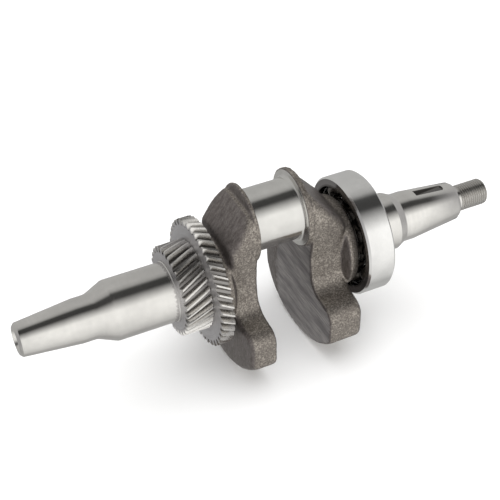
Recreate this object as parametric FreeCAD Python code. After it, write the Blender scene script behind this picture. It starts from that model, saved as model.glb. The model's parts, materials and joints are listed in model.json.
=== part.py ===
import FreeCAD, Part
import math
import os

# Forged crankshaft of a single-cylinder engine, with two helical gears and one ball bearing
# pressed on. Millimetres. X runs along the main axis towards the flywheel end, +Z points at the
# crankpin, and the origin is the centre of the ball bearing on the main axis.

# ---------------------------------------------------------------- driving dimensions
THROW = 32.0                 # half of the 64 mm stroke
CRANKPIN_X = -55.25          # middle of the crankpin
CRANKPIN_R = 18.0
CRANKPIN_HALF = 14.5         # from the middle to either thrust face
PIN_FILLET = 2.0
COLLAR_R = 23.0
COLLAR_ROUND = 0.8
COLLAR_BED = 0.9             # how far a collar is bedded into its web

LEFT_WEB_INNER = 16.0        # from the middle of the crankpin to a web's machined inner face
RIGHT_WEB_INNER = 17.4
LEFT_WEB_OUTER = 32.4
RIGHT_WEB_OUTER = 39.4
WEB_BOSS_R = 22.5
WAIST = 19.3                 # half width of a web at the main axis
WAIST_Z = 6.0
SHOULDER_Z = -14.0           # where a counterweight starts to widen
LOBE = 43.8                  # half width of a counterweight
LOBE_CORNER_R = 6.0
COUNTERWEIGHT_R = 57.6
FLAT_HALF = 16.5             # half width of the machined flats, beyond which the faces have draft
INNER_DRAFT = 2.5            # how far an inner face falls back at the +Y lobe
OUTER_DRAFT = 0.9            # how far an outer face falls back at both lobes
INNER_EDGE_R = 2.0
OUTER_EDGE_R = 4.0

LEFT_BEVEL_Z = 29.5          # height at which each web starts to thin towards the crankpin
LEFT_BEVEL_SLOPE = 1.35
RIGHT_BEVEL_Z = 27.0
RIGHT_BEVEL_SLOPE = 1.04
BEVEL_EDGE_R = 7.0
LEFT_HUB_R = 26.0
RIGHT_HUB_R = 28.0
HUB_TAPER = 1.5              # a hub's radius shrinks by this much away from its web
HUB_BLEND = 4.0
HUB_CORE_R = 17.0
SHOULDER_R = 24.2            # land that the bearing's inner ring sits against
SHOULDER_LAND = 1.5

JOURNAL_R = 17.5             # 35 mm bearing seats
TIMING_SEAT_R = 18.0
BALANCER_SEAT_R = 18.5
JOURNAL_START = -153.1
PTO_END = -206.2
PTO_TAPER_LENGTH = 34.6
PTO_TAPER_SMALL_R = 9.57
PTO_TAPER_SLOPE = 0.09375    # radius per length: 2.25 in per ft on diameter
PTO_NECK_LENGTH = 8.0
PTO_CHAMFER = 1.5
PTO_HOLE_R = 4.25            # tapping size for M10
PTO_HOLE_DEPTH = 30.0
PTO_COUNTERSINK_R = 6.6

FLYWHEEL_STUB_R = 14.8
SEAL_JOURNAL_R = 17.4        # a little under the bearing seat, so that the bearing slides over it
SEAL_JOURNAL_END = 23.9
STUB_START = 29.2
FLYWHEEL_TAPER_START = 36.4
FLYWHEEL_TAPER_END = 67.3
FLYWHEEL_TAPER_SLOPE = 0.1   # radius per length: 1 in 5 on diameter
FLYWHEEL_FACE = 69.4
FLYWHEEL_FACE_R = 10.3
THREAD_START = 72.4
THREAD_END = 90.4
THREAD_R = 8.0               # M16 x 1.5
THREAD_PITCH = 1.5
THREAD_UNDERCUT_R = 7.0
THREAD_CHAMFER = 1.0
CENTRE_HOLE_R = 1.6
CENTRE_HOLE_DEPTH = 5.0
CENTRE_SINK_R = 3.2

KEYWAY_START = 41.9
KEYWAY_END = 61.4
KEYWAY_WIDTH = 5.0
KEYWAY_FLOOR = 11.5

BALANCER_FACE = -93.2        # gear face against the left web's hub
BALANCER_WIDTH = 8.0
TIMING_WIDTH = 16.0
GEAR_MODULE = 1.5            # normal module of both gears
PRESSURE_ANGLE = 20.0
TIMING_TEETH = 30
TIMING_HELIX = -25.0
BALANCER_TEETH = 42
BALANCER_HELIX = 29.0
TIMING_PHASE = 0.0           # degrees, angle of one tooth at the gear's left face
BALANCER_PHASE = 0.0
GEAR_CHAMFER = 0.5

BEARING_WIDTH = 17.0         # 35 x 72 x 17 deep-groove ball bearing
BEARING_OUTER_R = 36.0
BEARING_CHAMFER = 1.1
INNER_SHOULDER_R = 23.45
OUTER_SHOULDER_R = 30.6
BALL_PITCH_R = 26.75
BALL_R = 5.5
BALLS = 9
BALL_GAP = 0.1               # radial clearance between a ball and either raceway
GROOVE_R = 5.75
POCKET_R = 5.7
CAGE_SHEET = 0.9
CAGE_INNER_R = 24.4
CAGE_OUTER_R = 29.2
RIVET_R = 0.9
RIVET_HEAD_R = 1.6
RIVET_HEAD_HEIGHT = 0.6
FIRST_BALL_DEG = 90.0        # angle of ball 1 around the shaft, from +Y towards +Z

# ---------------------------------------------------------------- helpers
X_AXIS = FreeCAD.Vector(1, 0, 0)
ORIGIN = FreeCAD.Vector(0, 0, 0)
BIG = 400.0


def point(x, y, z):
    return FreeCAD.Vector(x, y, z)


def export(name, shape):
    shape.exportStep("parts/" + name + ".step")


def solid_of(shape):
    """The single solid in a boolean result, with leftover seams merged."""
    return shape.removeSplitter().Solids[0]


def lathe(profile, axis_z=0.0):
    """Solid turned about the line parallel to X at height axis_z.

    profile lists (x, radius) corners from the low end to the high end. A third number on a corner
    rounds it with an arc of that radius.
    """
    corners = [(profile[0][0], 0.0)] + list(profile) + [(profile[-1][0], 0.0)]
    wire = rounded_wire([c if len(c) == 3 else (c[0], c[1], 0.0) for c in corners],
                        lambda a, b: point(a, 0.0, axis_z + b))
    face = Part.Face(wire)
    return face.revolve(point(0, 0, axis_z), X_AXIS, 360)


def rounded_wire(corners, place):
    """Closed wire through 2-D corners (a, b, radius), with a tangent arc at each rounded one."""
    count = len(corners)
    ends = []
    for i in range(count):
        a, b, radius = corners[i]
        here = FreeCAD.Vector(a, b, 0)
        if radius == 0.0:
            ends.append((here, None, here))
            continue
        back = FreeCAD.Vector(corners[i - 1][0] - a, corners[i - 1][1] - b, 0).normalize()
        ahead_corner = corners[(i + 1) % count]
        ahead = FreeCAD.Vector(ahead_corner[0] - a, ahead_corner[1] - b, 0).normalize()
        half = back.getAngle(ahead) / 2
        reach = radius / math.tan(half)
        middle = (back + ahead).normalize() * (radius / math.sin(half) - radius)
        ends.append((here + back * reach, here + middle, here + ahead * reach))
    edges = []
    for i in range(count):
        start, middle, end = ends[i]
        if middle is not None:
            arc = Part.Arc(place(start.x, start.y), place(middle.x, middle.y), place(end.x, end.y))
            edges.append(arc.toShape())
        following = ends[(i + 1) % count][0]
        if (following - end).Length > 1e-6:
            edges.append(Part.LineSegment(place(end.x, end.y), place(following.x, following.y)).toShape())
    return Part.Wire(edges)


def cylinder(radius, start, end, y=0.0, z=0.0):
    return Part.makeCylinder(radius, end - start, point(start, y, z), X_AXIS)


# ---------------------------------------------------------------- forged webs
def tangent_point(y, z):
    """Where a line through (y, z) touches the boss circle, on the side of positive y."""
    reach = math.hypot(y, z - THROW)
    angle = math.atan2(z - THROW, y) + math.acos(WEB_BOSS_R / reach)
    return WEB_BOSS_R * math.cos(angle), THROW + WEB_BOSS_R * math.sin(angle)


def web_outline(x):
    """Web seen along the main axis: crankpin boss, waist, and counterweight lobes."""
    start_y, start_z = tangent_point(WAIST, WAIST_Z)
    half = [
        (start_y, start_z, 0.0),
        (WAIST, WAIST_Z, 40.0),
        (WAIST + 1.5, SHOULDER_Z, 11.0),
        (LOBE + 0.5, SHOULDER_Z - 3.0, 8.5),
        (LOBE - 1.5, -COUNTERWEIGHT_R - 5.0, 0.0),
    ]
    mirrored = [(-y, z, radius) for y, z, radius in reversed(half)]
    bottom = rounded_wire(half + mirrored, lambda y, z: point(x, y, z))
    edges = [e for e in bottom.Edges if e.BoundBox.ZMin < start_z - 0.01]
    boss = Part.Arc(point(x, -start_y, start_z), point(x, 0, THROW + WEB_BOSS_R), point(x, start_y, start_z))
    return Part.Wire(Part.__sortEdges__(edges + [boss.toShape()]))


def draft_block(inner, outer, side):
    """Band between a web's two faces: flat in the middle, curving in towards the lobes."""
    reach = 60.0
    growth = ((reach - FLAT_HALF) / (LOBE - FLAT_HALF)) ** 2
    edges = []
    corners = []
    for face_x, lean_low, lean_high in (
        (inner, 0.0, side * INNER_DRAFT * growth),
        (outer, -side * OUTER_DRAFT * growth, -side * OUTER_DRAFT * growth),
    ):
        for sign, lean in ((-1, lean_low), (1, lean_high)):
            flat_end = point(face_x, sign * FLAT_HALF, 0)
            middle = point(face_x + lean / 4, sign * (FLAT_HALF + reach) / 2, 0)
            end = point(face_x + lean, sign * reach, 0)
            if lean == 0.0:
                edges.append(Part.LineSegment(flat_end, end).toShape())
            else:
                edges.append(Part.Arc(flat_end, middle, end).toShape())
            corners.append(end)
        edges.append(Part.LineSegment(point(face_x, -FLAT_HALF, 0), point(face_x, FLAT_HALF, 0)).toShape())
    edges.append(Part.LineSegment(corners[0], corners[2]).toShape())
    edges.append(Part.LineSegment(corners[1], corners[3]).toShape())
    face = Part.Face(Part.Wire(Part.__sortEdges__(edges)))
    face.translate(point(0, 0, -BIG / 2))
    return face.extrude(point(0, 0, BIG)).removeSplitter()


def bevel_cutter(corner_x, corner_z, side, slope):
    """Everything beyond the slanted shoulder that thins a web towards the crankpin."""
    run = 60.0
    corners = [
        (corner_x, corner_z),
        (corner_x - side * run, corner_z + slope * run),
        (corner_x + side * run, corner_z + slope * run),
        (corner_x + side * run, corner_z),
    ]
    wire = Part.makePolygon([point(x, -BIG / 2, z) for x, z in corners + corners[:1]])
    return Part.Face(wire).extrude(point(0, BIG, 0))


def rim_edges(solid, face_x):
    """Edges around one face of a web, where the face meets the forged sides."""
    chosen = []
    for edge in solid.Edges:
        middle = edge.valueAt((edge.FirstParameter + edge.LastParameter) / 2)
        box = edge.BoundBox
        fold = box.YLength < 0.01 and abs(middle.y) < FLAT_HALF + 0.01
        if abs(middle.x - face_x) < 5.0 and box.XLength < 6.0 and not fold:
            chosen.append(edge)
    return chosen


def bevel_sides(solid, corner_x, corner_z, side, slope):
    """Edges between the slanted shoulder and the sides of a web."""
    chosen = []
    for edge in solid.Edges:
        step = (edge.LastParameter - edge.FirstParameter) / 4
        points = [edge.valueAt(edge.FirstParameter + step * i) for i in range(5)]
        gaps = [abs(p.z - corner_z - slope * side * (corner_x - p.x)) for p in points]
        if max(gaps) < 0.02 and edge.BoundBox.XLength > 0.01:
            chosen.append(edge)
    return chosen


def web(side, inner_offset, outer_offset, bevel_z, slope):
    """One forged web. side is -1 for the gear end and +1 for the bearing end."""
    inner = CRANKPIN_X + side * inner_offset
    outer = CRANKPIN_X + side * outer_offset
    low = min(inner, outer)
    high = max(inner, outer)
    plate = Part.Face(web_outline(low)).extrude(point(high - low, 0, 0))
    plate = solid_of(plate.common(cylinder(COUNTERWEIGHT_R, low, high)))
    corners = [e for e in plate.Edges if e.BoundBox.XLength > 5 and e.BoundBox.ZMax < -30]
    plate = plate.makeFillet(LOBE_CORNER_R, corners)
    plate = solid_of(plate.cut(bevel_cutter(outer, bevel_z, side, slope)))
    plate = plate.makeFillet(BEVEL_EDGE_R, bevel_sides(plate, outer, bevel_z, side, slope))
    plate = solid_of(plate.common(draft_block(inner, outer, side)))
    plate = plate.makeFillet(INNER_EDGE_R, rim_edges(plate, inner))
    below = [e for e in rim_edges(plate, outer) if e.BoundBox.ZMax < bevel_z - 0.5]
    return plate.makeFillet(OUTER_EDGE_R, below)


# ---------------------------------------------------------------- crankshaft
def crankpin():
    """Ground pin between two thrust collars, turned about its own axis."""
    low = CRANKPIN_X - CRANKPIN_HALF
    high = CRANKPIN_X + CRANKPIN_HALF
    profile = [
        (CRANKPIN_X - LEFT_WEB_INNER - COLLAR_BED, COLLAR_R, COLLAR_ROUND),
        (low, COLLAR_R, 0.4),
        (low, CRANKPIN_R, PIN_FILLET),
        (high, CRANKPIN_R, PIN_FILLET),
        (high, COLLAR_R, 0.4),
        (CRANKPIN_X + RIGHT_WEB_INNER + COLLAR_BED, COLLAR_R, COLLAR_ROUND),
    ]
    return lathe(profile, THROW)


def gear_end_shaft():
    """Output taper, bearing journal, gear seats and the hub of the left web."""
    taper_end = PTO_END + PTO_TAPER_LENGTH
    taper_r = PTO_TAPER_SMALL_R + PTO_TAPER_LENGTH * PTO_TAPER_SLOPE
    timing_end = BALANCER_FACE - BALANCER_WIDTH
    chamfer_x = PTO_END + PTO_CHAMFER
    web_face = CRANKPIN_X - LEFT_WEB_OUTER
    profile = [
        (PTO_END, PTO_TAPER_SMALL_R - PTO_CHAMFER, 0.4),
        (chamfer_x, PTO_TAPER_SMALL_R + PTO_CHAMFER * PTO_TAPER_SLOPE, 0.6),
        (taper_end, taper_r),
        (taper_end + PTO_NECK_LENGTH, taper_r, 8.0),
        (JOURNAL_START, JOURNAL_R - 0.2, 2.0),
        (JOURNAL_START + 1.5, JOURNAL_R, 1.0),
        (timing_end - TIMING_WIDTH - 1.0, JOURNAL_R),
        (timing_end - TIMING_WIDTH - 0.5, TIMING_SEAT_R),
        (timing_end, TIMING_SEAT_R),
        (timing_end, BALANCER_SEAT_R),
        (BALANCER_FACE, BALANCER_SEAT_R),
        (BALANCER_FACE, LEFT_HUB_R - HUB_TAPER),
        (web_face, LEFT_HUB_R),
        (web_face + HUB_BLEND, HUB_CORE_R),
        (CRANKPIN_X - LEFT_WEB_INNER - 2.0, HUB_CORE_R),
    ]
    return lathe(profile)


def flywheel_end_shaft():
    """Hub of the right web, bearing seat, seal journal and flywheel taper."""
    taper_length = FLYWHEEL_TAPER_END - FLYWHEEL_TAPER_START
    taper_end_r = FLYWHEEL_STUB_R - taper_length * FLYWHEEL_TAPER_SLOPE
    shoulder = -BEARING_WIDTH / 2
    web_face = CRANKPIN_X + RIGHT_WEB_OUTER
    seat_end = BEARING_WIDTH / 2 + 0.2
    profile = [
        (CRANKPIN_X + RIGHT_WEB_INNER + 2.0, HUB_CORE_R),
        (web_face - HUB_BLEND, HUB_CORE_R),
        (web_face, RIGHT_HUB_R),
        (shoulder - SHOULDER_LAND, RIGHT_HUB_R - HUB_TAPER),
        (shoulder - SHOULDER_LAND, SHOULDER_R),
        (shoulder, SHOULDER_R),
        (shoulder, JOURNAL_R),
        (seat_end, JOURNAL_R),
        (seat_end + 0.2, SEAL_JOURNAL_R),
        (SEAL_JOURNAL_END, SEAL_JOURNAL_R, 0.8),
        (STUB_START, FLYWHEEL_STUB_R, 1.5),
        (FLYWHEEL_TAPER_START, FLYWHEEL_STUB_R),
        (FLYWHEEL_TAPER_END, taper_end_r),
        (FLYWHEEL_FACE, FLYWHEEL_FACE_R),
        (FLYWHEEL_FACE, THREAD_UNDERCUT_R),
        (THREAD_START, THREAD_UNDERCUT_R),
    ]
    return lathe(profile)


def threaded_stud():
    """Metric thread for the flywheel nut: a cylinder with a 60 degree helical groove."""
    depth = 0.6134 * THREAD_PITCH
    stud = lathe([
        (THREAD_START - 1.0, THREAD_UNDERCUT_R),
        (THREAD_START, THREAD_UNDERCUT_R),
        (THREAD_START + THREAD_CHAMFER, THREAD_R),
        (THREAD_END - THREAD_CHAMFER, THREAD_R),
        (THREAD_END, THREAD_R - THREAD_CHAMFER),
    ])
    run = THREAD_END - THREAD_START + 3 * THREAD_PITCH
    root_r = THREAD_R - depth
    half_root = THREAD_PITCH / 16
    lift = 0.3
    half_top = half_root + (depth + lift) * math.tan(math.radians(30))
    groove = Part.makePolygon([
        point(root_r, 0, -half_root), point(THREAD_R + lift, 0, -half_top),
        point(THREAD_R + lift, 0, half_top), point(root_r, 0, half_root), point(root_r, 0, -half_root),
    ])
    helix = Part.makeHelix(THREAD_PITCH, run, THREAD_R)
    cutter = Part.Wire(helix).makePipeShell([groove], True, True)
    cutter.rotate(ORIGIN, point(0, 1, 0), 90)
    cutter.translate(point(THREAD_START - 1.5 * THREAD_PITCH, 0, 0))
    return solid_of(stud.cut(cutter))


def keyway():
    """Flat-bottomed slot in the flywheel taper, in line with the crankpin."""
    return Part.makeBox(KEYWAY_END - KEYWAY_START, KEYWAY_WIDTH, 10.0,
                        point(KEYWAY_START, -KEYWAY_WIDTH / 2, KEYWAY_FLOOR))


def end_hole(face_x, side, radius, depth, sink_r):
    """Blind hole with a drill point and a 60 degree countersink. side points out of its mouth."""
    profile = [
        (depth + radius * 0.6, 0.0), (depth, radius),
        ((sink_r - radius) / math.tan(math.radians(30)), radius), (0.0, sink_r), (-1.0, sink_r), (-1.0, 0.0),
    ]
    wire = Part.makePolygon([point(face_x - side * d, 0, r) for d, r in profile + profile[:1]])
    return Part.Face(wire).revolve(ORIGIN, X_AXIS, 360)


def crankshaft():
    shaft = gear_end_shaft().fuse([
        web(-1, LEFT_WEB_INNER, LEFT_WEB_OUTER, LEFT_BEVEL_Z, LEFT_BEVEL_SLOPE),
        crankpin(),
        web(1, RIGHT_WEB_INNER, RIGHT_WEB_OUTER, RIGHT_BEVEL_Z, RIGHT_BEVEL_SLOPE),
        flywheel_end_shaft(),
    ])
    shaft = solid_of(shaft)
    shaft = shaft.cut(keyway())
    shaft = shaft.cut(end_hole(PTO_END, -1, PTO_HOLE_R, PTO_HOLE_DEPTH, PTO_COUNTERSINK_R))
    stud = threaded_stud().cut(end_hole(THREAD_END, 1, CENTRE_HOLE_R, CENTRE_HOLE_DEPTH, CENTRE_SINK_R))
    return shaft.fuse(stud).Solids[0]


# ---------------------------------------------------------------- gears
def tooth_flank(pitch_r, tip_r, root_r, teeth, pressure):
    """Involute points of one flank, as (radius, half angle of the tooth at that radius)."""
    base_r = pitch_r * math.cos(pressure)
    half_pitch_angle = math.pi / (2 * teeth) - 0.004
    involute = math.tan(pressure) - pressure
    points = []
    start_r = max(base_r, root_r) + 0.02
    for i in range(3):
        radius = start_r + (tip_r - start_r) * i / 2
        roll = math.acos(base_r / radius)
        points.append((radius, half_pitch_angle + involute - (math.tan(roll) - roll)))
    return points


def gear_section(x, turn, pitch_r, tip_r, root_r, teeth, pressure):
    """Outline of a gear at one height, as a closed wire of arcs."""
    flank = tooth_flank(pitch_r, tip_r, root_r, teeth, pressure)
    root_angle = flank[0][1] + 0.012

    def at(radius, angle):
        return point(x, radius * math.cos(angle), radius * math.sin(angle))

    edges = []
    for tooth in range(teeth):
        centre = turn + 2 * math.pi * tooth / teeth
        following = centre + 2 * math.pi / teeth
        gap = (centre + following) / 2
        foot_in = at(root_r, centre - root_angle)
        rise = [at(r, centre - a) for r, a in flank]
        fall = [at(r, centre + a) for r, a in reversed(flank)]
        foot_out = at(root_r, centre + root_angle)
        next_foot = at(root_r, following - root_angle)
        edges.append(Part.LineSegment(foot_in, rise[0]).toShape())
        edges.append(Part.Arc(*rise).toShape())
        edges.append(Part.Arc(rise[-1], at(tip_r, centre), fall[0]).toShape())
        edges.append(Part.Arc(*fall).toShape())
        edges.append(Part.LineSegment(fall[-1], foot_out).toShape())
        edges.append(Part.Arc(foot_out, at(root_r, gap), next_foot).toShape())
    return Part.Wire(edges)


def helical_gear(start, width, teeth, helix_deg, bore_r, phase):
    """Pressed-on gear with helical involute teeth, chamfered ends and a plain bore."""
    helix = math.radians(abs(helix_deg))
    transverse = GEAR_MODULE / math.cos(helix)
    pressure = math.atan(math.tan(math.radians(PRESSURE_ANGLE)) / math.cos(helix))
    pitch_r = transverse * teeth / 2
    tip_r = pitch_r + GEAR_MODULE
    root_r = pitch_r - 1.25 * GEAR_MODULE
    twist = math.copysign(width * math.tan(helix) / pitch_r, helix_deg)
    steps = 2 + round(abs(twist) / 0.11)
    wires = []
    for i in range(steps):
        part = i / (steps - 1)
        wires.append(gear_section(start + width * part, phase + twist * part,
                                  pitch_r, tip_r, root_r, teeth, pressure))
    blank = Part.makeLoft(wires, True, False)
    band = lathe([
        (start, tip_r - 2 * GEAR_CHAMFER),
        (start + GEAR_CHAMFER, tip_r),
        (start + width - GEAR_CHAMFER, tip_r),
        (start + width, tip_r - 2 * GEAR_CHAMFER),
    ])
    gear = blank.common(band)
    return gear.cut(cylinder(bore_r, start - 1, start + width + 1)).Solids[0]


# ---------------------------------------------------------------- ball bearing
def bearing_ring(bore_r, outer_r, chamfer_outside, race_centre_r):
    """Ring of the ball bearing with a round ball groove and chamfers on its fitted side."""
    half = BEARING_WIDTH / 2
    step = BEARING_CHAMFER
    if chamfer_outside:
        corners = [(-half, bore_r), (-half, outer_r - step), (-half + step, outer_r),
                   (half - step, outer_r), (half, outer_r - step), (half, bore_r)]
    else:
        corners = [(-half, bore_r + step), (-half, outer_r), (half, outer_r),
                   (half, bore_r + step), (half - step, bore_r), (-half + step, bore_r)]
    wire = Part.makePolygon([point(x, 0, r) for x, r in corners + corners[:1]])
    ring = Part.Face(wire).revolve(ORIGIN, X_AXIS, 360)
    return ring.cut(Part.makeTorus(race_centre_r, GROOVE_R, ORIGIN, X_AXIS)).Solids[0]


def on_pitch_circle(angle_deg):
    """Centre of a ball or rivet at an angle around the shaft, measured from +Y towards +Z."""
    angle = math.radians(angle_deg)
    return point(0, BALL_PITCH_R * math.cos(angle), BALL_PITCH_R * math.sin(angle))


def ball_angles():
    return [FIRST_BALL_DEG + 360 * i / BALLS for i in range(BALLS)]


def rivet_angles():
    return [angle + 180 / BALLS for angle in ball_angles()]


def left_cage_half():
    """Pressed ribbon cage half: a flat ring with a round pocket wall around every ball."""
    band = cylinder(CAGE_OUTER_R, -12, 12).cut(cylinder(CAGE_INNER_R, -13, 13))
    half_space = Part.makeBox(12, 120, 120, point(-12, -60, -60))
    shells = [Part.makeSphere(POCKET_R + CAGE_SHEET, on_pitch_circle(a), X_AXIS) for a in ball_angles()]
    cage = cylinder(CAGE_OUTER_R, -CAGE_SHEET, 0).fuse(shells).common(band).common(half_space)
    for angle in ball_angles():
        cage = cage.cut(Part.makeSphere(POCKET_R, on_pitch_circle(angle), X_AXIS))
    for angle in rivet_angles():
        centre = on_pitch_circle(angle)
        cage = cage.cut(cylinder(RIVET_R, -3, 3, centre.y, centre.z))
    return cage.Solids[0]


def rivet(angle):
    """Rivet through both cage halves with a low head on each side."""
    centre = on_pitch_circle(angle)
    grip = CAGE_SHEET
    body = cylinder(RIVET_R, -grip, grip, centre.y, centre.z)
    heads = []
    for side in (-1, 1):
        near = side * grip
        far = side * (grip + RIVET_HEAD_HEIGHT)
        heads.append(cylinder(RIVET_HEAD_R, min(near, far), max(near, far), centre.y, centre.z))
    return solid_of(body.fuse(heads))


# ---------------------------------------------------------------- export
os.makedirs("parts", exist_ok=True)

timing_start = BALANCER_FACE - BALANCER_WIDTH - TIMING_WIDTH
balancer_start = BALANCER_FACE - BALANCER_WIDTH
inner_race_r = BALL_PITCH_R - BALL_R - BALL_GAP + GROOVE_R
outer_race_r = BALL_PITCH_R + BALL_R + BALL_GAP - GROOVE_R

export("crankshaft", crankshaft())
export("timing_gear", helical_gear(timing_start, TIMING_WIDTH, TIMING_TEETH, TIMING_HELIX,
                                   TIMING_SEAT_R, math.radians(TIMING_PHASE)))
export("balancer_gear", helical_gear(balancer_start, BALANCER_WIDTH, BALANCER_TEETH, BALANCER_HELIX,
                                     BALANCER_SEAT_R, math.radians(BALANCER_PHASE)))
export("bearing_inner_ring", bearing_ring(JOURNAL_R, INNER_SHOULDER_R, False, inner_race_r))
export("bearing_outer_ring", bearing_ring(OUTER_SHOULDER_R, BEARING_OUTER_R, True, outer_race_r))
cage_left = left_cage_half()
export("cage_half_left", cage_left)
export("cage_half_right", cage_left.mirror(ORIGIN, X_AXIS))
export("cage_rivets", Part.makeCompound([rivet(angle) for angle in rivet_angles()]))
for index, ball_angle in enumerate(ball_angles()):
    export("ball_%d" % (index + 1), Part.makeSphere(BALL_R, on_pitch_circle(ball_angle)))
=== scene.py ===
import json
import math

import bmesh
import bpy
from mathutils import Matrix, Vector, noise


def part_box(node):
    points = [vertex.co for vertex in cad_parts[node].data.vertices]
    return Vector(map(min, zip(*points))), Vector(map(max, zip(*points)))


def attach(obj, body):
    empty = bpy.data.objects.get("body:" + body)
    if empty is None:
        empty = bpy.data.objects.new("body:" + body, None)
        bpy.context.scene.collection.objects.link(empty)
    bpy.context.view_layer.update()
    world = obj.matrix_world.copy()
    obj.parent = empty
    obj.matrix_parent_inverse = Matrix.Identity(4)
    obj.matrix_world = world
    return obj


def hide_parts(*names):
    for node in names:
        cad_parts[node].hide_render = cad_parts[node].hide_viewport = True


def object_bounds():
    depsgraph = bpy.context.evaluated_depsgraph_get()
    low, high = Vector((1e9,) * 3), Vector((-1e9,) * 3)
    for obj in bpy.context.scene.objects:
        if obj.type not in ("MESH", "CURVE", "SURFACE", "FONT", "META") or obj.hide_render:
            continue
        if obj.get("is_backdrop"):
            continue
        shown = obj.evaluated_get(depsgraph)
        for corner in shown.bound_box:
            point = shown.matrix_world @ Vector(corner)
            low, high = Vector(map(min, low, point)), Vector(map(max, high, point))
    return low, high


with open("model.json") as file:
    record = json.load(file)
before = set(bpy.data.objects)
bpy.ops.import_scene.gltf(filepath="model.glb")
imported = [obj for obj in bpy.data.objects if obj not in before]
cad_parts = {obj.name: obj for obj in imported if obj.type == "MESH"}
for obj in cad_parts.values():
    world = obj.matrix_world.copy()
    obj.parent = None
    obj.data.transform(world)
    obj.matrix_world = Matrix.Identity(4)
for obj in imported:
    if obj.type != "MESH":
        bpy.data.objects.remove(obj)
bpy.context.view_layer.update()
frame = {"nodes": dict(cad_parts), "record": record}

# A forged crankshaft with two gears and a ball bearing, in the CAD model's frame. Lengths below are
# millimetres and are turned into metres by MM. Its small tapered end is at low X and its threaded
# flywheel end at high X.
MM = 0.001
NODES = frame["nodes"]
MOUNTS = {mount["name"]: mount for mount in frame["record"]["mounts"]}

SHAFT_LOW, SHAFT_HIGH = (corner.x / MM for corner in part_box("crankshaft"))
GEAR_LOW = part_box("timing_gear")[0].x / MM
GEAR_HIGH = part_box("balancer_gear")[1].x / MM
BEARING_LOW, BEARING_HIGH = (corner.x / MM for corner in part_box("bearing_inner_ring"))
PIN_X = MOUNTS["crankpin"]["pos_m"][0] / MM
PIN_Z = MOUNTS["crankpin"]["pos_m"][2] / MM
PIN_R = MOUNTS["crankpin"]["dims"]["r_mm"]
JOURNAL_R = MOUNTS["pto_journal"]["dims"]["r_mm"]
SEAL_R = MOUNTS["seal_journal"]["dims"]["r_mm"]
THREAD_R = MOUNTS["flywheel_thread"]["dims"]["r_mm"]

# Crankpin and the milled inner faces of the two webs
PIN_HALF = 14.5
PIN_FILLET = 2.0
THRUST_R = 22.3
THRUST_BED = 1.0             # how far the pin's end discs reach into the webs
LEFT_INNER = PIN_X - 16.0
RIGHT_INNER = PIN_X + 17.4

# Small end: plain hole, taper, neck and journal
END_HOLE_R = 4.25
END_HOLE_DEPTH = 30.0
END_HOLE_TIP = 2.5
COUNTERSINK_R = 6.6
COUNTERSINK_DEPTH = 4.0
SMALL_END_R = 8.07
SMALL_END_CHAMFER = 1.5
SMALL_TAPER_R = 9.71
SMALL_TAPER_END = SHAFT_LOW + 34.6
NECK_R = 12.81
NECK_END = SHAFT_LOW + 42.6
JOURNAL_START = SHAFT_LOW + 53.1
GEAR_SEAT_R = JOURNAL_R + 0.45

# Flywheel end: bearing shoulder, seal journal, stub, taper with its keyway, face and thread
SHOULDER_R = 24.2
SHOULDER_WIDTH = 2.5
SEAL_END = BEARING_HIGH + 15.4
STUB_START = BEARING_HIGH + 20.7
STUB_R = 14.8
TAPER_START = BEARING_HIGH + 27.9
TAPER_END = BEARING_HIGH + 58.8
TAPER_SLOPE = 0.1
FLYWHEEL_FACE = BEARING_HIGH + 60.9
FLYWHEEL_FACE_R = 10.3
KEYWAY_LOW = BEARING_HIGH + 33.4
KEYWAY_HIGH = BEARING_HIGH + 52.9
KEYWAY_WIDTH = 5.0
KEYWAY_FLOOR = 11.5
KEYWAY_TOP = 20.0
KEYWAY_END_R = 1.2
UNDERCUT_R = 7.0
THREAD_START = BEARING_HIGH + 63.9
PITCH = 1.5
THREAD_DEPTH = 0.92
THREAD_RINGS = 144
THREAD_SEGMENTS = 96
CENTRE_HOLE_R = 1.6
CENTRE_HOLE_MOUTH_R = 3.2

# Forged skin
VOXEL = 0.5
SKIN_PASSES = 8
HUB_PASSES = 50
HUB_ROOT_OFFSET = 9.0        # a hub's root starts this far from the web's inner face
HUB_ROOT_R = 30.0
MILLED_DEPTH = 0.2           # skin this close to an inner face and facing along X is milled
THRUST_DEPTH = 1.2           # beyond this, towards the pin, skin facing along X is a thrust face
RAGGED_DEPTH = 0.6           # the flash around a web's inner edge ends this far outward

# Waves of the skin: (length, height, shift of the noise)
SKIN_WAVES = [(1.5, 0.04, (0, 0, 0)), (5.0, 0.08, (7, 3, 1)), (17.0, 0.20, (1, 9, 4))]
RAGGED_WAVE = (2.4, 0.22, (3, 8, 2))

TOOTH_DEPTH = 3.3
SHARP_EDGE = math.radians(30)


# ---------------------------------------------------------------- meshes
def new_object(name, bm, material):
    """Object from a bmesh, riding on the crankshaft and shaded smooth up to sharp edges."""
    for face in bm.faces:
        face.smooth = True
    mark_sharp(bm)
    mesh = bpy.data.meshes.new(name)
    bm.to_mesh(mesh)
    bm.free()
    return finished(bpy.data.objects.new(name, mesh), material)


def mark_sharp(bm):
    """Breaks the smooth shading at open edges and at those that turn by more than SHARP_EDGE."""
    for edge in bm.edges:
        edge.smooth = not edge.is_manifold or edge.calc_face_angle(0) < SHARP_EDGE


def finished(obj, material):
    """Gives a piece its material and makes it ride on and replace the CAD crankshaft."""
    if obj.name not in bpy.context.scene.collection.objects:
        bpy.context.scene.collection.objects.link(obj)
    obj.data.materials.clear()
    obj.data.materials.append(material)
    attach(obj, "crankshaft")
    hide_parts("crankshaft")
    return obj


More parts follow.
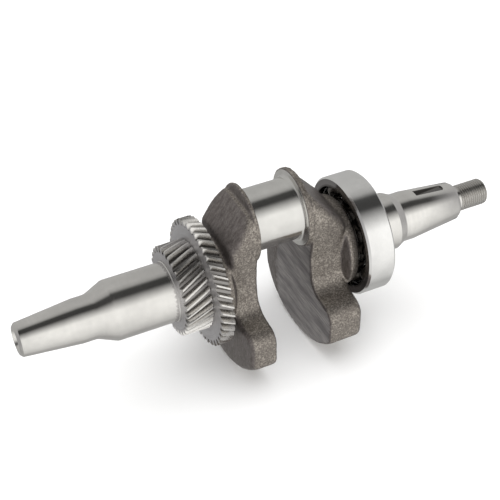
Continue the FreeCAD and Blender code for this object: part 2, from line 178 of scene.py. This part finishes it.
def softened(profile, steps=5):
    """Points of an open profile of (x, r) corners. A third number rounds the corner by that radius."""
    points = []
    for i, corner in enumerate(profile):
        here = Vector(corner[:2])
        if len(corner) < 3:
            points.append(here)
            continue
        back = (Vector(profile[i - 1][:2]) - here).normalized()
        ahead = (Vector(profile[i + 1][:2]) - here).normalized()
        half = back.angle(ahead) / 2
        reach = corner[2] / math.tan(half)
        start = here + back * reach
        end = here + ahead * reach
        centre = here + (back + ahead).normalized() * (corner[2] / math.sin(half))
        for k in range(steps + 1):
            arm = (start - centre).slerp(end - centre, k / steps)
            points.append(centre + arm.normalized() * corner[2])
    return points


def lathe_mesh(rings, axis_z=0.0, segments=160):
    """bmesh of rings (x, radius, wave). Where wave isn't None, wave(x, angle) is the radius."""
    bm = bmesh.new()
    loops = []
    for x, radius, wave in rings:
        if radius < 1e-6:
            loops.append([bm.verts.new((x * MM, 0, axis_z * MM))])
            continue
        loop = []
        for k in range(segments):
            angle = 2 * math.pi * k / segments
            r = wave(x, angle) if wave else radius
            z = axis_z + r * math.sin(angle)
            loop.append(bm.verts.new((x * MM, r * MM * math.cos(angle), z * MM)))
        loops.append(loop)
    for one, two in zip(loops, loops[1:]):
        for k in range(segments):
            after = (k + 1) % segments
            if len(one) == 1:
                bm.faces.new((one[0], two[after], two[k]))
            elif len(two) == 1:
                bm.faces.new((one[k], one[after], two[0]))
            else:
                bm.faces.new((one[k], one[after], two[after], two[k]))
    bmesh.ops.recalc_face_normals(bm, faces=bm.faces)
    return bm


def turned(name, profile, material, axis_z=0.0):
    """Piece turned about a line parallel to X, from a profile of (x, r) corners."""
    rings = [(point.x, point.y, None) for point in softened(profile)]
    return new_object(name, lathe_mesh(rings, axis_z), material)


def bake(obj):
    """Makes an object's modifiers part of its mesh."""
    made = bpy.data.meshes.new_from_object(obj.evaluated_get(bpy.context.evaluated_depsgraph_get()))
    obj.modifiers.clear()
    obj.data = made


def boolean_cut(obj, cutter):
    """Cuts one object out of another and removes the cutter."""
    modifier = obj.modifiers.new("cut", "BOOLEAN")
    modifier.operation = "DIFFERENCE"
    modifier.solver = "EXACT"
    modifier.object = cutter
    bake(obj)
    bpy.data.objects.remove(cutter)
    bm = bmesh.new()
    bm.from_mesh(obj.data)
    mark_sharp(bm)
    bm.to_mesh(obj.data)
    bm.free()


def keyway_cutter():
    """Long box with a rounded plan at its high end."""
    bm = bmesh.new()
    half = KEYWAY_WIDTH / 2
    outline = [(KEYWAY_LOW, -half)]
    for k in range(7):
        angle = math.radians(-90 + 30 * k)
        along = KEYWAY_HIGH - KEYWAY_END_R + KEYWAY_END_R * math.cos(angle)
        outline.append((along, half * math.sin(angle)))
    outline.append((KEYWAY_LOW, half))
    lower = [bm.verts.new((x * MM, y * MM, KEYWAY_FLOOR * MM)) for x, y in outline]
    upper = [bm.verts.new((x * MM, y * MM, KEYWAY_TOP * MM)) for x, y in outline]
    bm.faces.new(list(reversed(lower)))
    bm.faces.new(upper)
    for k in range(len(outline)):
        after = (k + 1) % len(outline)
        bm.faces.new((lower[k], lower[after], upper[after], upper[k]))
    bmesh.ops.recalc_face_normals(bm, faces=bm.faces)
    mesh = bpy.data.meshes.new("keyway_cutter")
    bm.to_mesh(mesh)
    bm.free()
    cutter = bpy.data.objects.new("keyway_cutter", mesh)
    bpy.context.scene.collection.objects.link(cutter)
    return cutter


def forging(name, low, high, inner, side, material):
    """A web and its hub as a rough forging: a fine closed copy of the CAD solid between two planes.

    side points from the crankpin to the web, and inner is where the web's milled face lies.
    """
    bm = bmesh.new()
    bm.from_mesh(NODES["crankshaft"].data)
    bmesh.ops.remove_doubles(bm, verts=bm.verts, dist=1e-6)
    for plane, direction in ((low, -1), (high, 1)):
        everything = bm.verts[:] + bm.edges[:] + bm.faces[:]
        cut = bmesh.ops.bisect_plane(bm, geom=everything, plane_co=(plane * MM, 0, 0),
                                     plane_no=(direction, 0, 0), clear_outer=True)
        rim = [e for e in cut["geom_cut"] if isinstance(e, bmesh.types.BMEdge)]
        bmesh.ops.holes_fill(bm, edges=rim, sides=0)
    mesh = bpy.data.meshes.new(name)
    bm.to_mesh(mesh)
    bm.free()
    obj = bpy.data.objects.new(name, mesh)
    bpy.context.scene.collection.objects.link(obj)
    remesh = obj.modifiers.new("remesh", "REMESH")
    remesh.mode = "VOXEL"
    remesh.voxel_size = VOXEL * MM
    bake(obj)
    root = [v.index for v in obj.data.vertices
            if side * (v.co.x / MM - inner) > HUB_ROOT_OFFSET
            and math.hypot(v.co.y, v.co.z) < HUB_ROOT_R * MM]
    obj.vertex_groups.new(name="hub_root").add(root, 1.0, "REPLACE")
    for passes, group in ((SKIN_PASSES, ""), (HUB_PASSES, "hub_root")):
        smooth = obj.modifiers.new("smooth", "SMOOTH")
        smooth.factor = 0.5
        smooth.iterations = passes
        smooth.vertex_group = group
    bake(obj)
    roughen(obj.data, inner, side)
    obj.data.shade_smooth()
    return finished(obj, material)


def wave_at(co, wave):
    """Height in mm of one wave of the skin at a place."""
    length, height, shift = wave
    return height * noise.noise(co / (length * MM) + Vector(shift))


def roughen(mesh, inner, side):
    """Scale and hammer marks on the forged skin. Milled inner and thrust faces stay flat."""
    places = [vertex.co.copy() for vertex in mesh.vertices]
    normals = [vertex.normal.copy() for vertex in mesh.vertices]
    moved = []
    for co, normal in zip(places, normals):
        beyond = side * (co.x / MM - inner)
        milled = abs(normal.x) > 0.6 and abs(beyond) < MILLED_DEPTH
        thrust = beyond < -THRUST_DEPTH and abs(normal.x) > 0.5
        if milled or thrust:
            moved.extend(co)
            continue
        height = sum(wave_at(co, wave) for wave in SKIN_WAVES)
        if beyond < RAGGED_DEPTH:
            height += wave_at(co, RAGGED_WAVE)
        moved.extend(co + normal * (height * MM))
    mesh.vertices.foreach_set("co", moved)
    mesh.update()


# ---------------------------------------------------------------- materials
class Nodes:
    """Small helper that builds one material's node tree."""

    def __init__(self, name, color, metallic, roughness):
        self.material = bpy.data.materials.new(name)
        self.material.use_nodes = True
        self.tree = self.material.node_tree
        self.shader = self.tree.nodes["Principled BSDF"]
        self.shader.inputs["Base Color"].default_value = (*color, 1)
        self.shader.inputs["Metallic"].default_value = metallic
        self.shader.inputs["Roughness"].default_value = roughness
        self.place = self.tree.nodes.new("ShaderNodeTexCoord").outputs["Object"]
        self.bump = None

    def link(self, source, target):
        self.tree.links.new(source, target)

    def math(self, kind, a, b=0.0, clamp=False):
        node = self.tree.nodes.new("ShaderNodeMath")
        node.operation = kind
        node.use_clamp = clamp
        for socket, value in zip(node.inputs, (a, b)):
            if isinstance(value, (int, float)):
                socket.default_value = value
            else:
                self.link(value, socket)
        return node.outputs[0]

    def split(self, vector):
        node = self.tree.nodes.new("ShaderNodeSeparateXYZ")
        self.link(vector, node.inputs[0])
        return node.outputs

    def join(self, x, y, z):
        node = self.tree.nodes.new("ShaderNodeCombineXYZ")
        for socket, value in zip(node.inputs, (x, y, z)):
            if isinstance(value, (int, float)):
                socket.default_value = value
            else:
                self.link(value, socket)
        return node.outputs[0]

    def noise(self, scale, detail=3.0, rough=0.55, vector=None, stretch=None):
        """Noise value with features of about 1/scale metres."""
        node = self.tree.nodes.new("ShaderNodeTexNoise")
        node.inputs["Scale"].default_value = scale
        node.inputs["Detail"].default_value = detail
        node.inputs["Roughness"].default_value = rough
        source = vector or self.place
        if stretch:
            scaled = self.tree.nodes.new("ShaderNodeVectorMath")
            scaled.operation = "MULTIPLY"
            scaled.inputs[1].default_value = stretch
            self.link(source, scaled.inputs[0])
            source = scaled.outputs[0]
        self.link(source, node.inputs["Vector"])
        return node.outputs["Fac"]

    def ramp(self, value, *stops):
        """Colour ramp through (position, grey or colour) stops."""
        node = self.tree.nodes.new("ShaderNodeValToRGB")
        elements = node.color_ramp.elements
        while len(elements) < len(stops):
            elements.new(0.5)
        for element, (position, color) in zip(elements, stops):
            element.position = position
            rgb = (color,) * 3 if isinstance(color, (int, float)) else color
            element.color = (*rgb, 1)
        self.link(value, node.inputs[0])
        return node.outputs[0]

    def blend(self, factor, a, b, kind="MIX"):
        node = self.tree.nodes.new("ShaderNodeMix")
        node.data_type = "RGBA"
        node.blend_type = kind
        for index, value in ((0, factor), (6, a), (7, b)):
            if isinstance(value, tuple):
                node.inputs[index].default_value = (*value, 1)
            elif isinstance(value, (int, float)):
                node.inputs[index].default_value = value
            else:
                self.link(value, node.inputs[index])
        return node.outputs[2]

    def add_bump(self, height, strength, distance_mm):
        node = self.tree.nodes.new("ShaderNodeBump")
        node.inputs["Strength"].default_value = strength
        node.inputs["Distance"].default_value = distance_mm * MM
        self.link(height, node.inputs["Height"])
        if self.bump:
            self.link(self.bump, node.inputs["Normal"])
        self.bump = node.outputs[0]
        self.link(self.bump, self.shader.inputs["Normal"])

    def color(self, value):
        self.link(value, self.shader.inputs["Base Color"])

    def roughness(self, value):
        self.link(value, self.shader.inputs["Roughness"])

    def around_axis(self, offset_z=0.0):
        """Distance from a line parallel to X, the angle about it and the place along it."""
        x, y, z = self.split(self.place)
        if offset_z:
            z = self.math("SUBTRACT", z, offset_z * MM)
        square = self.math("ADD", self.math("MULTIPLY", y, y), self.math("MULTIPLY", z, z))
        return self.math("SQRT", square), self.math("ARCTAN2", z, y), x

    def near(self, value, centre_mm, half_mm, soft_mm):
        """1 within half of a place along a length, falling to 0 over soft."""
        gap = self.math("ABSOLUTE", self.math("SUBTRACT", value, centre_mm * MM))
        fall = self.math("DIVIDE", gap, soft_mm * MM)
        return self.math("SUBTRACT", 1 + half_mm / soft_mm, fall, clamp=True)

    def facing_x(self, output):
        """How squarely a surface faces along X: 1 on an end face, 0 on a cylinder about X."""
        geometry = self.tree.nodes.new("ShaderNodeNewGeometry")
        return self.math("ABSOLUTE", self.split(geometry.outputs[output])[0])


def ground_steel(name, axis_z, tint, base_roughness, marks, keyed=False):
    """Ground or turned steel: fine rings about the axis, faint stains and handling marks.

    A keyed one has painted shade inside the keyway of the flywheel taper: its recess is coloured dark.
    """
    n = Nodes(name, tint, 1.0, base_roughness)
    radius, angle, x = n.around_axis(axis_z)
    rings = n.noise(2600, 4, 0.7, n.join(x, radius, n.math("MULTIPLY", angle, 0.0004)))
    coarse = n.noise(420, 2, 0.5, n.join(x, radius, n.math("MULTIPLY", angle, 0.0008)))
    cloud = n.noise(38, 4, 0.6)
    stained = tuple(c * 0.80 for c in tint)
    scored = tuple(c * 0.86 for c in tint)
    color = n.blend(n.ramp(cloud, (0.35, 0.0), (0.70, 1.0)), stained, tint)
    color = n.blend(n.ramp(coarse, (0.40, 0.0), (0.62, 0.30)), color, scored)
    if keyed:
        # Painted shade: the keyway's recess below the taper surface is coloured dark.
        taper_at_zero = (STUB_R + TAPER_SLOPE * TAPER_START) * MM
        taper = n.math("SUBTRACT", taper_at_zero, n.math("MULTIPLY", x, TAPER_SLOPE))
        recess_shade = n.math("DIVIDE", n.math("SUBTRACT", taper, radius), 0.8 * MM, clamp=True)
        half = (KEYWAY_HIGH - KEYWAY_LOW) / 2
        along = n.near(x, (KEYWAY_LOW + KEYWAY_HIGH) / 2, half + 0.1, 0.2)
        color = n.blend(n.math("MULTIPLY", recess_shade, along), color, (0.17, 0.165, 0.16))
    n.color(color)
    rough = n.math("ADD", n.math("MULTIPLY", rings, 0.12), n.math("MULTIPLY", cloud, 0.08))
    n.roughness(n.math("ADD", rough, base_roughness - 0.12))
    n.add_bump(rings, 0.35 * marks, 0.05)
    n.add_bump(coarse, 0.10 * marks, 0.05)
    return n.material


def forged_steel():
    """Shot-blasted forging: speckled brown-grey scale with bright flecks, and milled inner faces."""
    n = Nodes("forged_web_steel", (0.2, 0.185, 0.17), 0.85, 0.45)
    speck = n.noise(1050, 3, 0.65)
    grain = n.noise(430, 4, 0.6)
    patch = n.noise(75, 3, 0.5)
    pit, scale, fleck = (0.120, 0.106, 0.094), (0.235, 0.211, 0.188), (0.52, 0.48, 0.42)
    skin = n.ramp(speck, (0.30, pit), (0.50, scale), (0.72, fleck))
    shaded = n.blend(0.5, skin, (0.13, 0.112, 0.100))
    skin = n.blend(n.ramp(patch, (0.35, 0.0), (0.65, 0.55)), skin, shaded)
    skin = n.blend(n.ramp(grain, (0.56, 0.0), (0.72, 0.6)), skin, (0.58, 0.53, 0.47))

    # Faces square to the shaft: the milled ones, and the smoother skin pressed by the die, which is
    # also painted darker as shade
    x = n.split(n.place)[0]
    face = n.math("MAXIMUM", n.near(x, LEFT_INNER, 0.10, 0.2), n.near(x, RIGHT_INNER, 0.10, 0.2))
    flat = n.facing_x("Normal")
    face = n.math("MULTIPLY", face, n.math("GREATER_THAN", flat, 0.9))
    slab = n.ramp(flat, (0.45, 0.0), (0.68, 1.0))
    drawn = n.noise(620, 3, 0.6, None, (0.35, 1.0, 0.35))
    # Painted shade: skin facing along X is coloured darker; it is also the smoother die-pressed skin.
    smooth_skin_and_shade = n.ramp(drawn, (0.34, (0.105, 0.090, 0.088)), (0.70, (0.235, 0.212, 0.208)))
    skin = n.blend(n.math("MULTIPLY", slab, 0.72), skin, smooth_skin_and_shade)

    streaks = n.noise(900, 3, 0.6, None, (1.0, 0.10, 1.0))
    wide = n.noise(130, 2, 0.5, None, (1.0, 0.16, 1.0))
    dull, bright, dark = (0.24, 0.225, 0.225), (0.46, 0.43, 0.42), (0.15, 0.138, 0.14)
    milled = n.blend(n.ramp(streaks, (0.38, 0.0), (0.66, 1.0)), dull, bright)
    milled = n.blend(n.ramp(wide, (0.42, 0.0), (0.62, 0.75)), milled, dark)
    n.color(n.blend(face, skin, milled))

    skin_rough = n.math("ADD", n.math("MULTIPLY", grain, 0.30), 0.30)
    gap = n.math("SUBTRACT", 0.40, skin_rough)
    n.roughness(n.math("ADD", skin_rough, n.math("MULTIPLY", face, gap)))
    flatness = n.math("MAXIMUM", n.math("MULTIPLY", face, 0.92), n.math("MULTIPLY", slab, 0.55))
    rough_only = n.math("SUBTRACT", 1.0, flatness)
    n.add_bump(n.math("MULTIPLY", grain, rough_only), 0.35, 0.25)
    n.add_bump(n.math("MULTIPLY", speck, rough_only), 0.50, 0.15)
    n.add_bump(n.math("MULTIPLY", streaks, face), 0.20, 0.08)
    return n.material


def gear_steel(name, node_name):
    """Hobbed gear: streaks along the teeth, painted shade darkening the tooth roots, and satin turned
    end faces.
    """
    low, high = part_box(node_name)
    tip = high.z
    n = Nodes(name, (0.5, 0.49, 0.47), 1.0, 0.32)
    radius, angle, x = n.around_axis()
    recess_shade = n.math("DIVIDE", n.math("SUBTRACT", tip, radius), TOOTH_DEPTH * MM, clamp=True)
    hob = n.noise(1500, 3, 0.6, None, (0.25, 1.0, 1.0))
    cloud = n.noise(90, 3, 0.6)
    dull, bright = (0.66, 0.645, 0.62), (0.84, 0.82, 0.79)
    color = n.blend(n.ramp(hob, (0.35, 0.0), (0.68, 1.0)), dull, bright)
    # Painted shade: the colour darkens towards the tooth roots.
    color = n.blend(n.ramp(recess_shade, (0.35, 0.0), (1.0, 0.75)), color, (0.16, 0.15, 0.145))

    inside = n.math("MINIMUM", n.math("SUBTRACT", x, low.x), n.math("SUBTRACT", high.x, x))
    square = n.math("GREATER_THAN", n.facing_x("True Normal"), 0.9)
    end = n.math("MULTIPLY", n.math("LESS_THAN", inside, 0.05 * MM), square)
    facing = n.noise(2200, 2, 0.5, n.join(radius, n.math("MULTIPLY", angle, 0.0005), 0.0))
    faced = n.ramp(facing, (0.35, 0.0), (0.65, 1.0))
    turned_face = n.blend(faced, (0.60, 0.59, 0.60), (0.72, 0.71, 0.72))
    stain = n.ramp(cloud, (0.35, 0.0), (0.65, 0.35))
    color = n.blend(end, color, n.blend(stain, turned_face, (0.50, 0.49, 0.50)))
    n.color(color)

    rough = n.math("ADD", n.math("MULTIPLY", hob, 0.22), 0.18)
    n.roughness(n.math("ADD", rough, n.math("MULTIPLY", end, 0.18)))
    n.add_bump(n.math("MULTIPLY", hob, n.math("SUBTRACT", 1.0, end)), 0.12, 0.05)
    n.add_bump(n.math("MULTIPLY", facing, end), 0.25, 0.04)
    return n.material


def ring_steel(name, tint, base_roughness, edge_mm, shade_side):
    """Bearing ring: superfinished steel with very fine rings, end faces painted darker as shade
    and painted shade on the part facing the bearing's interior.

    The painted shade lies nearer the shaft than edge_mm where the last argument is LESS_THAN,
    and further out where it is GREATER_THAN.
    """
    n = Nodes(name, tint, 1.0, base_roughness)
    radius, angle, x = n.around_axis()
    rings = n.noise(3200, 3, 0.6, n.join(x, radius, n.math("MULTIPLY", angle, 0.0004)))
    cloud = n.noise(45, 4, 0.6)
    stained = tuple(c * 0.86 for c in tint)
    color = n.blend(n.ramp(cloud, (0.38, 0.0), (0.70, 1.0)), stained, tint)
    # Painted shade: faces square to the shaft are coloured darker.
    end = n.ramp(n.facing_x("True Normal"), (0.80, 0.0), (0.95, 1.0))
    color = n.blend(end, color, (0.22, 0.21, 0.205))
    # Painted shade: the side facing the bearing's interior is coloured almost black.
    interior_shade = n.math(shade_side, radius, edge_mm * MM)
    n.color(n.blend(interior_shade, color, (0.10, 0.092, 0.085)))
    rough = n.math("ADD", n.math("MULTIPLY", rings, 0.10), n.math("MULTIPLY", cloud, 0.06))
    n.roughness(n.math("ADD", rough, base_roughness - 0.08))
    n.add_bump(rings, 0.20, 0.03)
    return n.material


def pressed_steel():
    """Cage strip: drawn sheet with a dull surface, painted dark as the shade inside the bearing, with
    darker blotches and rubbed high spots.
    """
    n = Nodes("cage_sheet_steel", (0.36, 0.34, 0.31), 1.0, 0.35)
    grain = n.noise(1200, 4, 0.6)
    cloud = n.noise(160, 3, 0.5)
    # Painted shade: the whole strip is coloured dark, as the shade inside the bearing.
    color = n.blend(n.ramp(grain, (0.35, 0.0), (0.70, 1.0)), (0.10, 0.092, 0.083), (0.24, 0.225, 0.205))
    n.color(n.blend(n.ramp(cloud, (0.45, 0.0), (0.65, 0.6)), color, (0.06, 0.054, 0.048)))
    n.roughness(n.math("ADD", n.math("MULTIPLY", cloud, 0.3), 0.18))
    n.add_bump(grain, 0.25, 0.06)
    return n.material


def ball_steel():
    """Polished ball with faint haze, its steel painted darker as the shade inside the bearing."""
    n = Nodes("polished_ball_steel", (0.75, 0.75, 0.75), 1.0, 0.08)
    haze = n.noise(260, 4, 0.6)
    # Painted shade: both greys are darker than bare polished steel.
    clear, hazy = (0.30, 0.295, 0.285), (0.46, 0.455, 0.445)
    n.color(n.blend(n.ramp(haze, (0.4, 0.0), (0.7, 1.0)), clear, hazy))
    n.roughness(n.math("ADD", n.math("MULTIPLY", haze, 0.10), 0.03))
    n.add_bump(n.noise(2400, 2, 0.5), 0.06, 0.01)
    return n.material


# ---------------------------------------------------------------- crankshaft pieces
def thread_radius(x, angle):
    """Radius of a right-hand metric thread with chamfered ends."""
    along = ((x - THREAD_START) / PITCH - angle / (2 * math.pi)) % 1.0
    rise = min(1.0, max(0.0, (abs(along - 0.5) - 0.06) / 0.375))
    radius = THREAD_R - THREAD_DEPTH * (1.0 - rise)
    start_chamfer = THREAD_R - 1.0 + (x - THREAD_START)
    end_chamfer = THREAD_R - 0.9 + 0.9 * (SHAFT_HIGH - x)
    return min(radius, start_chamfer, end_chamfer)


def thread_rings():
    """Rings of the threaded stud, from its root in the undercut to its centre hole."""
    rings = [(THREAD_START - 0.5, 0.0, None), (THREAD_START - 0.5, UNDERCUT_R - 0.1, None)]
    for i in range(THREAD_RINGS + 1):
        x = THREAD_START + (SHAFT_HIGH - THREAD_START) * i / THREAD_RINGS
        rings.append((x, THREAD_R, thread_radius))
    rings += [
        (SHAFT_HIGH, 6.8, None),
        (SHAFT_HIGH, CENTRE_HOLE_MOUTH_R, None),
        (SHAFT_HIGH - 2.77, CENTRE_HOLE_R, None),
        (SHAFT_HIGH - 5.0, CENTRE_HOLE_R, None),
        (SHAFT_HIGH - 6.0, 0.0, None),
    ]
    return rings


TINT = (0.80, 0.785, 0.755)
journal_steel = ground_steel("ground_journal_steel", 0.0, TINT, 0.17, 0.8)
taper_steel = ground_steel("ground_taper_steel", 0.0, TINT, 0.17, 0.8, keyed=True)
pin_steel = ground_steel("ground_pin_steel", PIN_Z, (0.80, 0.79, 0.76), 0.17, 0.6)
thread_steel = ground_steel("cut_thread_steel", 0.0, (0.60, 0.585, 0.56), 0.28, 1.0)
web_steel = forged_steel()

turned("gear_end_shaft", [
    (SHAFT_LOW + END_HOLE_DEPTH + END_HOLE_TIP, 0.0),
    (SHAFT_LOW + END_HOLE_DEPTH, END_HOLE_R),
    (SHAFT_LOW + COUNTERSINK_DEPTH, END_HOLE_R),
    (SHAFT_LOW, COUNTERSINK_R),
    (SHAFT_LOW, SMALL_END_R, 0.5),
    (SHAFT_LOW + SMALL_END_CHAMFER, SMALL_TAPER_R, 0.7),
    (SMALL_TAPER_END, NECK_R),
    (NECK_END, NECK_R, 8.0),
    (JOURNAL_START, JOURNAL_R - 0.2, 2.0),
    (JOURNAL_START + 1.5, JOURNAL_R, 1.0),
    (GEAR_LOW - 1.0, JOURNAL_R),
    (GEAR_LOW - 0.5, GEAR_SEAT_R),
    (GEAR_LOW + 3.0, GEAR_SEAT_R),
    (GEAR_HIGH, GEAR_SEAT_R),
    (GEAR_HIGH + 1.0, 0.0),
], journal_steel)

turned("crankpin", [
    (PIN_X - PIN_HALF - THRUST_BED, 0.0),
    (PIN_X - PIN_HALF - THRUST_BED, THRUST_R),
    (PIN_X - PIN_HALF, THRUST_R, 0.3),
    (PIN_X - PIN_HALF, PIN_R, PIN_FILLET),
    (PIN_X + PIN_HALF, PIN_R, PIN_FILLET),
    (PIN_X + PIN_HALF, THRUST_R, 0.3),
    (PIN_X + PIN_HALF + THRUST_BED, THRUST_R),
    (PIN_X + PIN_HALF + THRUST_BED, 0.0),
], pin_steel, PIN_Z)

flywheel_shaft = turned("flywheel_end_shaft", [
    (BEARING_LOW - SHOULDER_WIDTH, 0.0),
    (BEARING_LOW - SHOULDER_WIDTH, SHOULDER_R),
    (BEARING_LOW, SHOULDER_R, 0.3),
    (BEARING_LOW, JOURNAL_R),
    (BEARING_HIGH + 0.2, JOURNAL_R),
    (BEARING_HIGH + 0.4, SEAL_R),
    (SEAL_END, SEAL_R, 0.8),
    (STUB_START, STUB_R, 1.5),
    (TAPER_START, STUB_R),
    (TAPER_END, STUB_R - TAPER_SLOPE * (TAPER_END - TAPER_START)),
    (FLYWHEEL_FACE, FLYWHEEL_FACE_R, 0.3),
    (FLYWHEEL_FACE, UNDERCUT_R, 0.4),
    (THREAD_START + 0.2, UNDERCUT_R),
    (THREAD_START + 0.2, 0.0),
], taper_steel)
boolean_cut(flywheel_shaft, keyway_cutter())

stud = lathe_mesh(thread_rings(), 0.0, THREAD_SEGMENTS)
new_object("flywheel_thread", stud, thread_steel)

forging("left_web", GEAR_HIGH, PIN_X - PIN_HALF - 0.1, LEFT_INNER, -1, web_steel)
forging("right_web", PIN_X + PIN_HALF + 0.1, BEARING_LOW - 1.5, RIGHT_INNER, 1, web_steel)

# ---------------------------------------------------------------- finishes of the CAD nodes
finishes = {
    "timing_gear": gear_steel("timing_gear_steel", "timing_gear"),
    "balancer_gear": gear_steel("balancer_gear_steel", "balancer_gear"),
    "bearing_inner_ring": ring_steel(
        "inner_ring_steel", (0.62, 0.61, 0.59), 0.22, 21.5, "GREATER_THAN"),
    "bearing_outer_ring": ring_steel(
        "outer_ring_steel", (0.90, 0.895, 0.88), 0.14, 31.6, "LESS_THAN"),
}
cage_finish = pressed_steel()
ball_finish = ball_steel()
for node_name, node in NODES.items():
    if node_name == "crankshaft":
        continue
    material = finishes.get(node_name, ball_finish if node_name.startswith("ball_") else cage_finish)
    node.data.materials.clear()
    node.data.materials.append(material)


# ---------------------------------------------------------------- floor, light and camera
FLOOR_HALF = 4.0             # metres
NEUTRAL = (0.46, 0.455, 0.46, 1)

# Grey of the surround by its angle in degrees about the shaft, from +Y towards +Z
SURROUND = [
    (-180, 1.14), (-139, 0.95), (-110, 0.70), (-95, 0.48), (-39, 0.42), (0, 0.52), (60, 0.54),
    (74, 0.42), (84, 0.06), (106, 0.05), (128, 0.60), (148, 1.14), (180, 1.14),
]

# Camera of the reference view: where it stands in metres, its lens and its axes
CAMERA_PLACE = (-0.29105, -0.49072, 0.44053)
CAMERA_LENS = 87.584
CAMERA_RIGHT = Vector((0.90088, -0.43339, -0.02429))
CAMERA_DOWN = Vector((-0.28722, -0.55321, -0.78196))
CAMERA_FORWARD = Vector((0.32546, 0.71143, -0.62286))


def floor():
    """Pale plane just under the counterweights. It doesn't show in reflections."""
    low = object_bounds()[0]
    size = FLOOR_HALF
    mesh = bpy.data.meshes.new("floor")
    corners = [(-size, -size), (size, -size), (size, size), (-size, size)]
    mesh.from_pydata([(x, y, low.z - 0.2 * MM) for x, y in corners], [], [(0, 1, 2, 3)])
    obj = bpy.data.objects.new("floor", mesh)
    bpy.context.scene.collection.objects.link(obj)
    n = Nodes("pale_floor", (0.93, 0.93, 0.93), 0.0, 0.9)
    n.shader.inputs["Specular IOR Level"].default_value = 0.1
    mesh.materials.append(n.material)
    obj.visible_glossy = False
    obj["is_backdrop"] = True


def soft_light(name, location, target, size, power):
    """Large area lamp that adds diffuse light only."""
    data = bpy.data.lights.new(name, "AREA")
    data.shape = "RECTANGLE"
    data.size, data.size_y = size
    data.energy = power
    obj = bpy.data.objects.new(name, data)
    bpy.context.scene.collection.objects.link(obj)
    obj.location = location
    obj.rotation_euler = (Vector(target) - Vector(location)).to_track_quat("-Z", "Y").to_euler()
    obj.visible_glossy = False


def studio():
    """World whose grey runs with the angle about the shaft and turns neutral towards its ends."""
    world = bpy.data.worlds.new("studio")
    bpy.context.scene.world = world
    world.use_nodes = True
    world.node_tree.nodes["Background"].inputs["Strength"].default_value = 1.0
    tree = world.node_tree
    place = tree.nodes.new("ShaderNodeTexCoord")
    split = tree.nodes.new("ShaderNodeSeparateXYZ")
    tree.links.new(place.outputs["Generated"], split.inputs[0])
    angle = tree.nodes.new("ShaderNodeMath")
    angle.operation = "ARCTAN2"
    tree.links.new(split.outputs[2], angle.inputs[0])
    tree.links.new(split.outputs[1], angle.inputs[1])
    turn = tree.nodes.new("ShaderNodeMapRange")
    turn.inputs["From Min"].default_value = -math.pi
    turn.inputs["From Max"].default_value = math.pi
    tree.links.new(angle.outputs[0], turn.inputs["Value"])
    around = grey_ramp(tree, turn.outputs[0], SURROUND, -180, 180)
    side = tree.nodes.new("ShaderNodeMath")
    side.operation = "ABSOLUTE"
    tree.links.new(split.outputs[0], side.inputs[0])
    share = grey_ramp(tree, side.outputs[0], [(0.72, 0.0), (0.95, 1.0)], 0, 1)
    mix = tree.nodes.new("ShaderNodeMix")
    mix.data_type = "RGBA"
    tree.links.new(share, mix.inputs[0])
    tree.links.new(around, mix.inputs[6])
    mix.inputs[7].default_value = NEUTRAL
    tree.links.new(mix.outputs[2], tree.nodes["Background"].inputs["Color"])


def grey_ramp(tree, value, stops, low, high):
    """Ramp of slightly warm greys through (place, grey) stops, with places from low to high."""
    node = tree.nodes.new("ShaderNodeValToRGB")
    elements = node.color_ramp.elements
    while len(elements) < len(stops):
        elements.new(0.5)
    for element, (place, grey) in zip(elements, stops):
        element.position = (place - low) / (high - low)
        element.color = (grey, grey * 0.995, grey * 0.98, 1)
    tree.links.new(value, node.inputs[0])
    return node.outputs[0]


def camera():
    data = bpy.data.cameras.new("camera")
    obj = bpy.data.objects.new("camera", data)
    bpy.context.scene.collection.objects.link(obj)
    data.sensor_width = 36.0
    data.lens = CAMERA_LENS
    turn = Matrix((CAMERA_RIGHT, -CAMERA_DOWN, -CAMERA_FORWARD)).transposed()
    obj.matrix_world = Matrix.Translation(CAMERA_PLACE) @ turn.to_4x4()
    data.clip_start = 0.01
    data.clip_end = 20.0
    bpy.context.scene.camera = obj


floor()
studio()
camera()
soft_light("top_fill", (0.0, 0.2, 1.6), (-0.05, 0, 0), (2.8, 2.8), 48.0)
soft_light("front_panel", (-0.9, -1.5, 0.9), (-0.05, 0, 0), (1.6, 1.0), 12.0)
bpy.context.scene.view_settings.view_transform = "Standard"
